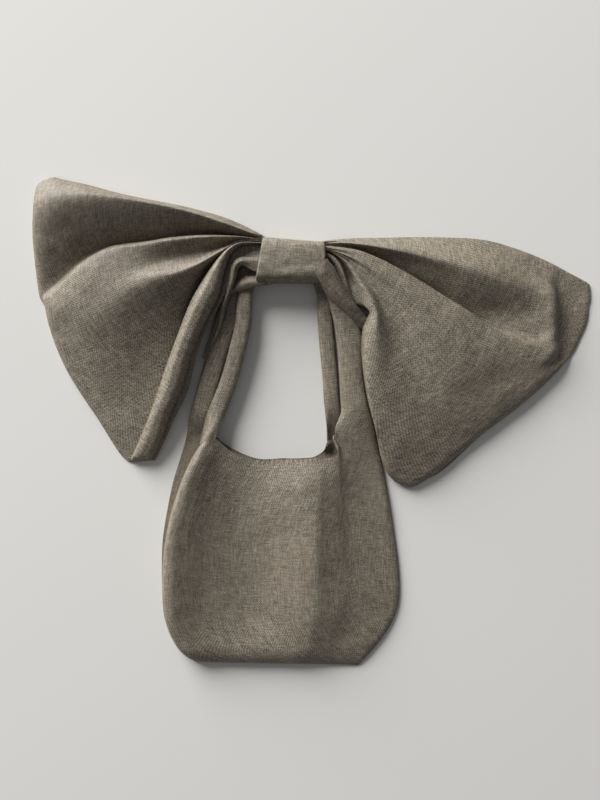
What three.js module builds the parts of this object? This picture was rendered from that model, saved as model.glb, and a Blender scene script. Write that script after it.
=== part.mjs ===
// A linen shoulder bag: a lined pouch on two folded straps, gathered at the top by a large sewn bow.
// It lies on its back, as on a bed. Millimetres, +Z up, +X to the right, +Y from the pouch to the bow.
// The origin is the middle of the pouch's back face, on the surface that the bag lies on.
import * as THREE from 'three';

// Cloth thicknesses, and the gap between pieces that touch
const CLOTH = 1.6;
const LINING = 0.8;
const GAP = 0.3;

// Pouch
const POUCH_WIDTH = 260;
const POUCH_HEIGHT = 226; // base seam to the middle of the mouth
const POUCH_DEPTH = 28; // height of the front wall above the surface, which its folds take down
const BASE_WIDTH = 182; // straight stretch of the base seam
const SHOULDER_WIDTH = 200; // across both shoulders, where the straps begin
const MOUTH_WIDTH = 136; // between the straps
const MOUTH_CORNER = 18; // how far the mouth's edge takes to turn up into a strap
const SHOULDER_RISE = 22; // shoulders above the middle of the mouth
const BASE_CURVE = 30; // how far up the front wall the base curves
const MOUTH_SAG = 0.35; // share of its height that the front wall loses towards the shoulders
const MOUTH_SAG_START = 46; // how far below the shoulders that begins
// Folds across the front wall: a roll at the left, a hollow, and a ridge below the right strap.
// Each is a place from -1 to 1 and a share of the wall's height there.
const POUCH_FOLDS = [
  [-1, 0.6], [-0.9, 1], [-0.75, 0.7], [-0.5, 0.6], [-0.26, 0.58], [0.05, 0.63], [0.28, 0.74], [0.55, 0.67],
  [0.8, 0.62], [1, 0.4],
];
const LINING_SKEW = 7; // the back leans to the left at the top, its lining less than its outer cloth

// Straps: two folded halves side by side, the front one to the right
const STRAP_WIDTH = 19;
const STRAP_KNOT_WIDTH = 13; // where the knot gathers it
const STRAP_DEPTH = 9;
const STRAP_SPACE = 2; // between the two halves of one strap
const STRAP_BEND = 18; // radius of the turn into the knot

// Knot: the middle of the bow, its band and what the band holds
const KNOT_X = 11;
const KNOT_RISE = 209; // knot's middle above the middle of the mouth
const KNOT_TILT = -4.5; // degrees
const BAND_WIDTH = 62;
const BAND_HEIGHT = 52;
const BAND_DEPTH = 36;
const BAND_ROUND = 9;
const CROSSOVER_HEIGHT = 31; // straps side by side inside the band
const CROSSOVER_DEPTH = 9.4;
const CROSSOVER_ROUND = 3;
const WAIST_PLEATS = 5;
const WAIST_PLEAT_DEPTH = 4;

// Wings of the bow, in the knot's own axes, each from the band's side edge out to its hem
const WING_ROOT_HEIGHT = 23; // stretch of the band's edge that the wing's cloth comes out of
const WING_FLAT_RISE = 15; // height of the wing's back where it leaves the band
const WING_SETTLE = [0.08, 0.6]; // shares of the way out between which the back comes down to the surface
const WING_SPREAD = 0.4; // share of the way out by which the gathers have opened into the folds
const HEM_FOLDS = [0.6, 0.9]; // shares of the way out between which the folds change to those near the hem
const LEFT_WING = {
  side: -1,
  corner: [272, 77], // upper hem corner: outwards, upwards
  tip: [146, -229], // lower hem tip
  bulge: [[305, 2], [270, -123]], // pulls the hem outwards between the two
  lead: [50, 60], // how far the upper and the lower edge run straight out of the band
  tail: [110, 118], // and straight into the hem
  inward: [-4, 70], // angle at which the edges leave the hem, degrees above level
  // heights of the folds from the upper edge to the lower one, half way out and near the hem
  folds: [
    [0, 8], [0.07, 34], [0.2, 17], [0.33, 1], [0.45, 27], [0.6, 36], [0.68, 34], [0.84, 12], [0.91, 3],
    [0.965, 42], [1, 10],
  ],
  hemFolds: [
    [0, 8], [0.07, 34], [0.28, 21], [0.42, 2], [0.5, 18], [0.59, 31], [0.7, 26], [0.86, 16], [0.93, 6],
    [0.97, 26], [1, 8],
  ],
};
const RIGHT_WING = {
  side: 1,
  corner: [328, 9],
  tip: [141, -227],
  bulge: [[337, -43], [275, -143]],
  lead: [62, 58],
  tail: [112, 108],
  inward: [24, 75],
  folds: [[0, 8], [0.06, 21], [0.2, 13], [0.34, 1], [0.45, 15], [0.55, 37], [0.72, 34], [0.9, 32], [1, 16]],
  hemFolds: [[0, 4], [0.08, 13], [0.2, 22], [0.38, 26], [0.5, 12], [0.62, 19], [0.8, 20], [1, 16]],
};

// Pleats beside the knot: a folded strip each, by the points of its middle line in the knot's axes
const PLEAT_DEPTH = 8;
const LEFT_PLEATS = {
  left_pleat_upper: {
    width: 11,
    line: [[0, -9, 22], [17, -9, 22], [27, -18, 21], [32, -35, 19], [37, -57, 17]],
  },
  left_pleat_lower: { width: 7, line: [[0, -21, 17], [13, -28, 17], [24, -38, 16]] },
};
const RIGHT_PLEATS = {
  right_pleat_inner: { width: 9, line: [[0, -5, 26], [14, -6, 26], [25, -15, 24], [32, -32, 20]] },
  right_pleat_roll: { width: 13, line: [[0, -17, 16], [11, -23, 16], [23, -42, 16], [38, -64, 16]] },
};

// Facets
const PANEL_ROWS = 12;
const PANEL_COLUMNS = 20;
const LINING_INSET = 1; // facets between the outer seam and the lining's
const WING_ROWS = 12;
const WING_COLUMNS = 30;
const STRAP_STEPS = 12;
const PLEAT_STEPS = 8;
const SECTION_SIDES = 10;
const CORNER_STEPS = 4;

// How square the cloth turns down to a seam, as the power of its round
const SEAM_ROUND = 20; // the pouch's sides
const BASE_ROUND = 2;
const HEM_ROUND = 10;
const EDGE_ROUND = 8; // the wings' upper and lower edges

const DEGREE = Math.PI / 180;
const mix = (a, b, t) => a + (b - a) * t;
const smooth = (from, to, x) => THREE.MathUtils.smoothstep(x, from, to);

// Places that several pieces share
const BASE_Y = -POUCH_HEIGHT / 2;
const MOUTH_Y = POUCH_HEIGHT / 2;
const SHOULDER_Y = MOUTH_Y + SHOULDER_RISE;
const KNOT_Y = MOUTH_Y + KNOT_RISE;
const STRAP_PITCH = STRAP_WIDTH + STRAP_SPACE;
const STRAP_Z = STRAP_DEPTH / 2 + GAP;
const BACK_SKEW = STRAP_PITCH; // the back's shoulders lie one strap to the left of the front's
const RIM = 2 * CLOTH + GAP; // top of the front cloth where two cloths are sewn together
const BAND_HALF = BAND_WIDTH / 2;
const CROSSOVER_Y = -BAND_HEIGHT / 2 + CLOTH + GAP + CROSSOVER_HEIGHT / 2;
const CROSSOVER_Z = CLOTH + GAP + CROSSOVER_DEPTH / 2;
const WAIST_BOTTOM = CLOTH + 2 * GAP + CROSSOVER_DEPTH;
const WAIST_TOP = BAND_DEPTH - CLOTH - GAP;
const WAIST_HALF = BAND_HEIGHT / 2 - CLOTH - GAP;

const linen = new THREE.MeshStandardMaterial({ color: 0x8d8270, roughness: 0.95, metalness: 0 });
const band = new THREE.MeshStandardMaterial({ color: 0x968b78, roughness: 0.95, metalness: 0 });
const cotton = new THREE.MeshStandardMaterial({ color: 0x7c7263, roughness: 0.95, metalness: 0 });

// A smooth value through [place, value] pairs
function through(pairs, x) {
  const last = pairs.length - 1;
  let i = 0;
  while (i < last - 1 && x > pairs[i + 1][0]) i += 1;
  const slope = (k) => {
    const [low, high] = [pairs[Math.max(k - 1, 0)], pairs[Math.min(k + 1, last)]];
    return (high[1] - low[1]) / (high[0] - low[0]);
  };
  const span = pairs[i + 1][0] - pairs[i][0];
  const t = THREE.MathUtils.clamp((x - pairs[i][0]) / span, 0, 1);
  const [rise, fall] = [slope(i) * span, slope(i + 1) * span];
  const step = pairs[i][1] - pairs[i + 1][1];
  return pairs[i][1] + t * (rise + t * (-3 * step - 2 * rise - fall + t * (2 * step + rise + fall)));
}

function solid(name, material, points, triangles) {
  const geometry = new THREE.BufferGeometry();
  geometry.setAttribute('position', new THREE.Float32BufferAttribute(points.flat(), 3));
  geometry.setIndex(triangles);
  geometry.computeVertexNormals();
  const mesh = new THREE.Mesh(geometry, material);
  mesh.name = name;
  return mesh;
}

// A cloth between an upper and a lower face, each a function of a row share and a column share.
// Rows run up the cloth and columns run to the right, so that the upper face looks up.
function cloth(name, material, rows, columns, upper, lower) {
  const points = [];
  for (const face of [upper, lower])
    for (let i = 0; i <= rows; i += 1)
      for (let j = 0; j <= columns; j += 1) points.push(face(i / rows, j / columns));
  const at = (layer, i, j) => layer * (rows + 1) * (columns + 1) + i * (columns + 1) + j;
  const triangles = [];
  const quad = (a, b, c, d) => triangles.push(a, b, c, a, c, d);
  for (let i = 0; i < rows; i += 1)
    for (let j = 0; j < columns; j += 1) {
      quad(at(0, i, j), at(0, i, j + 1), at(0, i + 1, j + 1), at(0, i + 1, j));
      quad(at(1, i, j), at(1, i + 1, j), at(1, i + 1, j + 1), at(1, i, j + 1));
    }
  for (let j = 0; j < columns; j += 1) {
    quad(at(0, 0, j), at(1, 0, j), at(1, 0, j + 1), at(0, 0, j + 1));
    quad(at(0, rows, j), at(0, rows, j + 1), at(1, rows, j + 1), at(1, rows, j));
  }
  for (let i = 0; i < rows; i += 1) {
    quad(at(0, i, 0), at(0, i + 1, 0), at(1, i + 1, 0), at(1, i, 0));
    quad(at(0, i, columns), at(1, i, columns), at(1, i + 1, columns), at(0, i + 1, columns));
  }
  return solid(name, material, points, triangles);
}

// A folded strip of cloth that lies flat, with an oval section at each place along it
function strip(name, material, places, depth) {
  const points = [];
  const triangles = [];
  const steps = places.length - 1;
  for (const { middle, along, width } of places) {
    const across = new THREE.Vector3(along.y, -along.x, 0).normalize();
    for (let k = 0; k < SECTION_SIDES; k += 1) {
      const turn = (2 * Math.PI * (k + 0.5)) / SECTION_SIDES;
      const out = (width / 2) * Math.cos(turn);
      const up = (depth / 2) * Math.sin(turn);
      points.push([middle.x + across.x * out, middle.y + across.y * out, middle.z + up]);
    }
  }
  for (let i = 0; i < steps; i += 1)
    for (let k = 0; k < SECTION_SIDES; k += 1) {
      const next = (k + 1) % SECTION_SIDES;
      const [a, b] = [i * SECTION_SIDES, (i + 1) * SECTION_SIDES];
      triangles.push(a + k, b + k, b + next, a + k, b + next, a + next);
    }
  const end = steps * SECTION_SIDES;
  for (let k = 1; k < SECTION_SIDES - 1; k += 1) {
    triangles.push(0, k, k + 1);
    triangles.push(end, end + k + 1, end + k);
  }
  return solid(name, material, points, triangles);
}

// Half the pouch's width at a height, from the straight base over the round sides to the shoulders
function pouchHalf(y) {
  const share = (y - BASE_Y) / (SHOULDER_Y - BASE_Y);
  const widest = POUCH_WIDTH / 2;
  const shoulder = SHOULDER_WIDTH / 2;
  const side = mix(widest, shoulder, 0.42);
  const outline = [[0, BASE_WIDTH / 2], [0.14, widest * 0.92], [0.3, widest], [0.8, side], [1, shoulder]];
  return through(outline, share);
}

// The pouch's upper edge: level across the mouth, and turned up into a strap at either side
function pouchTop(column) {
  const corner = MOUTH_WIDTH / SHOULDER_WIDTH;
  const turn = (2 * MOUTH_CORNER) / SHOULDER_WIDTH;
  return MOUTH_Y + SHOULDER_RISE * smooth(corner - turn, corner, Math.abs(column));
}

// A round shoulder: 1 in the middle and 0 at either end of -1 to 1, the squarer the higher the power
const rounded = (place, power) => Math.sqrt(Math.max(0, 1 - Math.pow(Math.abs(place), power)));

// The top face of the front wall: its folds, down to the seam at the sides and the base, lower at the mouth
function frontHeight(column, y) {
  const fold = through(POUCH_FOLDS, column) * rounded(column, SEAM_ROUND);
  const base = rounded(1 - Math.min(1, (y - BASE_Y) / BASE_CURVE), BASE_ROUND);
  const top = 1 - MOUTH_SAG * smooth(SHOULDER_Y - MOUTH_SAG_START, SHOULDER_Y, y);
  return RIM + (POUCH_DEPTH - RIM) * fold * base * top;
}

// A place on a wall of the pouch, for a row share up it and a column share across it
function pouchPlace(row, share, skew) {
  const column = 2 * share - 1;
  const y = mix(BASE_Y, pouchTop(column), row);
  return { column, y, x: column * pouchHalf(y) - skew * smooth(0, SHOULDER_Y, y) };
}

// A wall of the pouch. A lining leaves out the facets along the seam, and so keeps clear of it.
function pouchWall(name, material, inset, skew, upper, lower) {
  const rows = PANEL_ROWS - inset;
  const columns = PANEL_COLUMNS - 2 * inset;
  const face = (height) => (row, share) => {
    const [up, over] = [(row * rows + inset) / PANEL_ROWS, (share * columns + inset) / PANEL_COLUMNS];
    const place = pouchPlace(up, over, skew);
    return [place.x, place.y, height(place.column, place.y)];
  };
  return cloth(name, material, rows, columns, face(upper), face(lower));
}

function pouch() {
  const level = (height) => () => height;
  const below = (drop) => (column, y) => frontHeight(column, y) - drop;
  const inside = CLOTH + GAP;
  const lined = inside + LINING;
  return [
    pouchWall('pouch_back_panel', linen, 0, BACK_SKEW, level(CLOTH), level(0)),
    pouchWall('pouch_back_lining', cotton, LINING_INSET, LINING_SKEW, level(lined), level(inside)),
    pouchWall('pouch_front_lining', cotton, LINING_INSET, 0, below(inside), below(lined)),
    pouchWall('pouch_front_panel', linen, 0, 0, below(0), below(CLOTH)),
  ];
}

// A point given in the knot's axes
function fromKnot(x, y, z) {
  const point = new THREE.Vector3(x, y, z).applyAxisAngle(new THREE.Vector3(0, 0, 1), KNOT_TILT * DEGREE);
  return point.add(new THREE.Vector3(KNOT_X, KNOT_Y, 0));
}

// The middle of a strap, from the pouch's shoulder up and round into the side of the knot
function strapLine(side) {
  const baseX = side * (MOUTH_WIDTH + STRAP_WIDTH) / 2 - STRAP_PITCH / 2;
  const base = new THREE.Vector3(baseX, SHOULDER_Y + 2 * GAP, STRAP_Z);
  const lift = base.clone().add(new THREE.Vector3(0, STRAP_WIDTH / 2, 0));
  const bend = [0, 45, 90].map((turn) => fromKnot(
    side * (BAND_HALF + GAP + STRAP_BEND * Math.cos(turn * DEGREE)),
    CROSSOVER_Y - STRAP_BEND + STRAP_BEND * Math.sin(turn * DEGREE),
    CROSSOVER_Z,
  ));
  const between = [0.35, 0.7].map((share) => lift.clone().lerp(bend[0], share).setZ(STRAP_Z));
  return new THREE.CatmullRomCurve3([base, lift, ...between, ...bend], false, 'centripetal');
}

// One half of a strap, beside its middle line. The front half comes down from the front wall's edge.
function strapHalf(name, side, half) {
  const line = strapLine(side);
  const column = (side * (MOUTH_WIDTH + STRAP_WIDTH)) / (2 * pouchHalf(SHOULDER_Y));
  const shoulder = frontHeight(column, SHOULDER_Y) - CLOTH / 2;
  const rise = half > 0 ? Math.max(0, shoulder - STRAP_Z) : 0;
  const upwards = new THREE.Vector3(0, 1, 0);
  const inwards = fromKnot(-side, 0, 0).sub(fromKnot(0, 0, 0));
  const places = [];
  for (let i = 0; i <= STRAP_STEPS; i += 1) {
    const share = i / STRAP_STEPS;
    const ends = { 0: upwards, [STRAP_STEPS]: inwards };
    const along = ends[i] ?? line.getTangent(share);
    const right = new THREE.Vector3(along.y, -along.x, 0).normalize();
    const width = mix(STRAP_WIDTH, STRAP_KNOT_WIDTH, smooth(0.4, 0.85, share));
    const middle = line.getPoint(share).addScaledVector(right, (half * (width + STRAP_SPACE)) / 2);
    middle.z += rise * (1 - smooth(0, 0.3, share));
    places.push({ middle, along, width });
  }
  return strip(name, linen, places, STRAP_DEPTH);
}

function straps() {
  return [
    strapHalf('left_strap_front', -1, 1),
    strapHalf('left_strap_back', -1, -1),
    strapHalf('right_strap_front', 1, 1),
    strapHalf('right_strap_back', 1, -1),
  ];
}

// A rounded box outline in the band's section: across is the band's height, up is its depth
function roundedBox(left, right, low, high, round) {
  const outline = new THREE.Shape();
  outline.absarc(right - round, low + round, round, -Math.PI / 2, 0);
  outline.absarc(right - round, high - round, round, 0, Math.PI / 2);
  outline.absarc(left + round, high - round, round, Math.PI / 2, Math.PI);
  outline.absarc(left + round, low + round, round, Math.PI, 1.5 * Math.PI);
  outline.closePath();
  return outline;
}

// A section swept from one side edge of the band to the other
function acrossKnot(name, material, outline) {
  const sweep = { depth: BAND_WIDTH, bevelEnabled: false, curveSegments: CORNER_STEPS };
  const geometry = new THREE.ExtrudeGeometry(outline, sweep);
  geometry.translate(0, 0, -BAND_HALF);
  geometry.applyMatrix4(new THREE.Matrix4().makeBasis(
    new THREE.Vector3(0, 1, 0),
    new THREE.Vector3(0, 0, 1),
    new THREE.Vector3(1, 0, 0),
  ));
  const mesh = new THREE.Mesh(geometry, material);
  mesh.name = name;
  return mesh;
}

function knotBand() {
  const half = BAND_HEIGHT / 2;
  const outline = roundedBox(-half, half, 0, BAND_DEPTH, BAND_ROUND);
  const inside = BAND_ROUND - CLOTH;
  outline.holes.push(roundedBox(-half + CLOTH, half - CLOTH, CLOTH, BAND_DEPTH - CLOTH, inside));
  return acrossKnot('knot_band', band, outline);
}

function strapCrossover() {
  const half = CROSSOVER_HEIGHT / 2;
  const [low, high] = [CROSSOVER_Z - CROSSOVER_DEPTH / 2, CROSSOVER_Z + CROSSOVER_DEPTH / 2];
  const left = CROSSOVER_Y - half + (BAND_ROUND - CLOTH) / 2;
  const outline = roundedBox(left, CROSSOVER_Y + half, low, high, CROSSOVER_ROUND);
  return acrossKnot('strap_crossover', linen, outline);
}

// The bow's middle, gathered into pleats that show as grooves on its front
function bowWaist() {
  const pitch = (2 * WAIST_HALF - 2 * BAND_ROUND) / WAIST_PLEATS;
  const outline = new THREE.Shape();
  outline.moveTo(-WAIST_HALF, WAIST_BOTTOM);
  outline.lineTo(WAIST_HALF, WAIST_BOTTOM);
  outline.lineTo(WAIST_HALF, WAIST_TOP - BAND_ROUND);
  for (let k = 0; k <= WAIST_PLEATS; k += 1) {
    const crest = WAIST_HALF - BAND_ROUND - k * pitch;
    outline.lineTo(crest, WAIST_TOP);
    if (k < WAIST_PLEATS) outline.lineTo(crest - pitch / 2, WAIST_TOP - WAIST_PLEAT_DEPTH);
  }
  outline.lineTo(-WAIST_HALF, WAIST_TOP - BAND_ROUND);
  outline.closePath();
  return acrossKnot('bow_waist', linen, outline);
}

// A point of a wing in plan: out is the share from the band to the hem, and down the share from its
// upper edge to its lower one. A line of the cloth leaves the band straight and turns towards the hem.
function wingPlan(wing, out, down) {
  const [corner, tip] = [new THREE.Vector2(...wing.corner), new THREE.Vector2(...wing.tip)];
  const [first, second] = wing.bulge.map((point) => new THREE.Vector2(...point));
  const hem = new THREE.CubicBezierCurve(corner, first, second, tip).getPoint(down);
  const root = new THREE.Vector2(BAND_HALF + GAP, WAIST_HALF - WING_ROOT_HEIGHT * down);
  const leave = root.clone().add(new THREE.Vector2(mix(...wing.lead, down), 0));
  const angle = mix(...wing.inward, down) * DEGREE;
  const tail = mix(...wing.tail, down);
  const arrive = hem.clone().add(new THREE.Vector2(-Math.cos(angle) * tail, Math.sin(angle) * tail));
  return new THREE.CubicBezierCurve(root, leave, arrive, hem).getPoint(out);
}

// The back of a wing lies on the surface, and rises to the knot over the straps
function wingFloor(out) {
  return WING_FLAT_RISE * (1 - smooth(...WING_SETTLE, out));
}

// The front of a wing rises over its folds, and comes down to the back at the hem and at both edges
function wingHeight(wing, out, down) {
  const root = WAIST_TOP - WING_FLAT_RISE - RIM;
  const fold = mix(through(wing.folds, down), through(wing.hemFolds, down), smooth(...HEM_FOLDS, out));
  const body = Math.max(0, mix(root, fold, smooth(0, WING_SPREAD, out)));
  return wingFloor(out) + RIM + body * rounded(out, HEM_ROUND) * rounded(2 * down - 1, EDGE_ROUND);
}

function wingCloth(wing, name, height) {
  const face = (drop) => (row, share) => {
    const out = wing.side < 0 ? 1 - share : share;
    const { x, y } = wingPlan(wing, out, 1 - row);
    return [wing.side * x, y, height(out, 1 - row) - drop];
  };
  return cloth(name, linen, WING_COLUMNS, WING_ROWS, face(0), face(CLOTH));
}

function wingPair(wing, name) {
  return [
    wingCloth(wing, name + '_front', (out, down) => wingHeight(wing, out, down)),
    wingCloth(wing, name + '_back', (out) => wingFloor(out) + CLOTH),
  ];
}

function pleats(side, kinds) {
  return Object.entries(kinds).map(([name, { width, line }]) => {
    const points = line.map(([x, y, z]) => new THREE.Vector3(side * (BAND_HALF + GAP + x), y, z));
    const curve = new THREE.CatmullRomCurve3(points);
    const places = [];
    for (let i = 0; i <= PLEAT_STEPS; i += 1) {
      const share = i / PLEAT_STEPS;
      const along = i === 0 ? new THREE.Vector3(side, 0, 0) : curve.getTangent(share);
      places.push({ middle: curve.getPoint(share), along, width });
    }
    return strip(name, linen, places, PLEAT_DEPTH);
  });
}

const knot = new THREE.Group();
knot.position.set(KNOT_X, KNOT_Y, 0);
knot.rotation.z = KNOT_TILT * DEGREE;
knot.add(knotBand(), strapCrossover(), bowWaist());
knot.add(...wingPair(LEFT_WING, 'left_wing'), ...pleats(-1, LEFT_PLEATS));
knot.add(...wingPair(RIGHT_WING, 'right_wing'), ...pleats(1, RIGHT_PLEATS));

const bag = new THREE.Group();
bag.add(...pouch(), ...straps(), knot);

export default bag;
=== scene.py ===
"""Linen bag with a great sewn bow, lying on its back and seen from straight above.

Lengths are millimetres unless a comment says metres. The bow's lines are measured from the middle
of the knot, and the pouch's and the straps' lines from the frame's own origin.
"""
import math

import bpy
import numpy as np
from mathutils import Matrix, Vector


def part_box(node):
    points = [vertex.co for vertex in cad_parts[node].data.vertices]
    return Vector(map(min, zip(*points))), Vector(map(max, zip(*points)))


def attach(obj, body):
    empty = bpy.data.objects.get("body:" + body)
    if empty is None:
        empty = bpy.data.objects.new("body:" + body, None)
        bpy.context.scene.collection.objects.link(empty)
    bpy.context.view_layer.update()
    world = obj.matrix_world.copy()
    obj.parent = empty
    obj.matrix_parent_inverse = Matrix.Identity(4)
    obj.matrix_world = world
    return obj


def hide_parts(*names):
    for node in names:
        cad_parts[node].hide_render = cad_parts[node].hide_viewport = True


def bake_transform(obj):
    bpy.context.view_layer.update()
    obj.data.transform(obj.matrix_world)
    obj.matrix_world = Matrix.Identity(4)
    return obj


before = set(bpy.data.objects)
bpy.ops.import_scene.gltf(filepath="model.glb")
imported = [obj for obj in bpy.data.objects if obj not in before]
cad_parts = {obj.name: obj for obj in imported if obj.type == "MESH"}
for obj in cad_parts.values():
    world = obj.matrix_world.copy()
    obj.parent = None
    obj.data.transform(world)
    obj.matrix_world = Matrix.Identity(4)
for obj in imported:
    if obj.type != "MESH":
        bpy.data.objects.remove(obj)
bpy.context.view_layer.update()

MM = 0.001

# Thickness of each cloth, and how far every piece stays above the bed.
CLOTH = 1.2
BACK_CLOTH = 0.8
STRAP_CLOTH = 0.9
LINING_CLOTH = 0.6
BED_CLEARANCE = 0.2

# The knot's middle and the band round it, which turns a little clockwise.
band_low, band_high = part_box("knot_band")
KNOT = np.array([band_low.x + band_high.x, band_low.y + band_high.y, 0.0]) / 2 / MM
KNOT_TILT = math.radians(-4.5)
BAND_WIDTH = 62.0
BAND_HEIGHT = 52.0
BAND_DEPTH = 36.0

# Left wing, from its upper border down to the valley beside the long roll.
# Each line runs from the band to the hem.
LEFT_BORDER = [(-22, 25, 18), (-30, 31, 17), (-52, 43, 14), (-73, 52, 13), (-115, 64, 11),
               (-183, 78, 8), (-225, 89, 6), (-260, 98, 4)]
LEFT_FRONT = [
    LEFT_BORDER,
    # Seam beside the border.
    [(-22, 25, 20), (-30, 30, 21), (-52, 41, 20), (-73, 50, 20), (-115, 62, 19), (-183, 76, 19),
     (-225, 87, 19), (-267, 95, 17)],
    # Just inside the border.
    [(-22, 25, 22), (-31, 29, 23), (-53, 38, 25), (-74, 46, 26), (-114, 58, 27), (-181, 72, 28),
     (-228, 83, 26), (-262, 89, 21), (-280, 86, 13)],
    # Upper crest.
    [(-22, 25, 24), (-31, 28, 25), (-53, 36, 28), (-74, 43, 30), (-114, 55, 33), (-180, 67, 35),
     (-229, 70, 35), (-262, 66, 31), (-282, 64, 20)],
    # Middle of the upper panel.
    [(-22, 25, 23), (-31, 28, 24), (-54, 33, 23), (-75, 38, 21), (-107, 44, 19), (-150, 44, 19),
     (-190, 42, 20), (-220, 38, 21), (-250, 31, 21), (-274, 27, 18), (-284, 30, 12)],
    # First valley, a crease.
    [(-22, 24, 23), (-31, 27, 24), (-55, 31, 15), (-76, 34, 8), (-100, 35, 4.5), (-132, 33, 3.2),
     (-163, 28, 3.2), (-195, 24, 3.2), (-212, 18, 3.2), (-231, 7, 3.5), (-251, -11, 4),
     (-268, -26, 5), (-277, -33, 6)],
    # Lip of the first valley.
    [(-22, 25, 25), (-31, 25, 27), (-54, 28, 28), (-74, 28, 29), (-98, 27, 30), (-128, 24, 30),
     (-159, 19, 29), (-190, 15, 26), (-210, 8, 25), (-230, -6, 23), (-252, -26, 19), (-271, -44, 12)],
    # Dip behind the lip.
    [(-22, 25, 24), (-31, 25, 25), (-54, 25, 22), (-73, 21, 18), (-105, 12, 19), (-133, 5, 22),
     (-157, -1, 26), (-178, -7, 28), (-204, -18, 29), (-228, -34, 26), (-252, -50, 20),
     (-268, -59, 13)],
    # Lip of the second fold.
    [(-22, 24, 25), (-31, 24, 27), (-55, 23, 29), (-74, 13, 31), (-100, -2, 33), (-122, -11, 34),
     (-143, -16, 34), (-162, -22, 32), (-182, -32, 31), (-204, -44, 28), (-226, -57, 24),
     (-248, -70, 17), (-263, -77, 12)],
    # Long descent.
    [(-22, 23, 24), (-31, 23, 25), (-55, 23, 25), (-74, 11, 25), (-94, -4, 23), (-110, -20, 20),
     (-130, -36, 19.5), (-152, -53, 19.5), (-178, -73, 20), (-206, -94, 18), (-230, -108, 14),
     (-248, -112, 11)],
    # Low ground.
    [(-22, 23, 24), (-31, 23, 25), (-55, 23, 22), (-74, 11, 19), (-90, -3, 15), (-104, -23, 11),
     (-117, -43, 9), (-136, -72, 8.5), (-165, -112, 9.5), (-196, -148, 10), (-215, -164, 8)],
    # Valley beside the long roll, a crease.
    [(-22, 23, 23), (-31, 23, 24), (-57, 22, 20), (-71, 15, 13), (-88, -2, 5.5), (-102, -23, 3.2),
     (-112, -42, 3), (-123, -70, 3), (-136, -105, 4), (-149, -144, 5), (-166, -188, 6),
     (-178, -214, 6)],
]
LEFT_CREASES = (5, 11)
LEFT_CREASE_END = (0.6, 0.85)
# The long roll: its seam, its top's height by the share of the way along, and the strip behind it.
LEFT_ROLL_SEAM = [(-22, 21, 22), (-31, 21, 22), (-55, 19, 22), (-65, 10, 22), (-71, -5, 22),
                  (-78, -33, 22), (-95, -67, 21), (-108, -98, 19), (-118, -132, 16),
                  (-131, -160, 13), (-142, -189, 10), (-154, -212, 6)]
LEFT_ROLL_TOP = [(0, 26), (0.1, 30), (0.2, 35), (0.35, 35), (0.55, 31), (0.75, 25), (0.9, 18),
                 (1, 11)]
LEFT_ROLL_LEAN = 0.55
LEFT_STRIP = [(-22, 14, 17), (-40, 8, 21), (-62, -6, 24), (-72, -32, 23), (-80, -49, 22),
              (-90, -67, 20), (-99, -86, 18), (-105, -107, 16), (-113, -137, 13), (-127, -165, 10),
              (-139, -191, 7), (-150, -212, 3)]

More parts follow.
